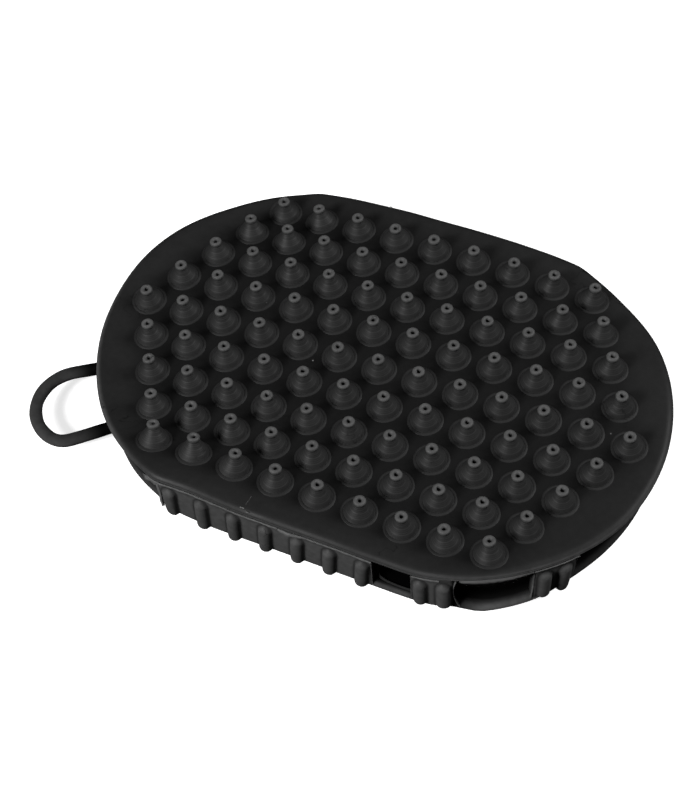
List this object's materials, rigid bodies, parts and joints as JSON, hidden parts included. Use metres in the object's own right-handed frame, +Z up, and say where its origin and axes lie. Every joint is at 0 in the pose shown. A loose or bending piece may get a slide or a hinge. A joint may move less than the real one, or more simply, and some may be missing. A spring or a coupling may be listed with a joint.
{
  "type": "grooming mitt",
  "caption": "Two-sided silicone grooming mitt with a cone face, a pin face, ribbed side walls with finger windows, open ends and a hanging loop.",
  "frame": {"origin": "centre of the mitt's plan, at the tips of the pins it stands on", "axes": "+X from the wrist end to the fingertip end, +Y across to the rear side, +Z up from the pin face to the cone face"},
  "size_m": [0.177, 0.1148, 0.0263],
  "materials": {
    "cone_face": "satin",
    "cones": "satin",
    "pin_face": "satin",
    "pins": "satin",
    "side_walls": "satin",
    "grip_ribs": "satin",
    "loop": "satin"
  },
  "bodies": {
    "mitt_body": {"cone_sheet": "cone_face", "cone_row_1": "cones", "cone_row_2": "cones", "cone_row_3": "cones", "cone_row_4": "cones", "cone_row_5": "cones", "cone_row_6": "cones", "cone_row_7": "cones", "cone_row_8": "cones", "cone_row_9": "cones", "pin_sheet": "pin_face", "pin_field": "pins", "front_wall": "side_walls", "front_mid_post": "side_walls", "front_tip_post": "side_walls", "front_wall_ribs": "grip_ribs", "front_mid_post_ribs": "grip_ribs", "front_tip_post_ribs": "grip_ribs", "rear_wall": "side_walls", "rear_mid_post": "side_walls", "rear_tip_post": "side_walls", "rear_wall_ribs": "grip_ribs", "rear_mid_post_ribs": "grip_ribs", "rear_tip_post_ribs": "grip_ribs", "loop_roots": "loop"},
    "cone_lip": {"cone_lip": "cone_face", "lip_cones": "cones"},
    "hanging_loop": {"hanging_loop": "loop"}
  },
  "joints": [
    {"name": "cone_lip_flex", "type": "hinge", "parent": "mitt_body", "child": "cone_lip", "pos_m": [-0.045, 0, 0.0201], "axis": [0, 1, 0], "range_deg": [-6, 35], "stiffness_Nm_per_rad": 0.06, "springref_deg": 1.83},
    {"name": "loop_flex", "type": "hinge", "parent": "mitt_body", "child": "hanging_loop", "pos_m": [-0.07604, -0.02868, 0.0059], "axis": [-0.4597, 0.8881, 0], "range_deg": [-12, 80], "stiffness_Nm_per_rad": 0.004, "springref_deg": 0.57}
  ]
}
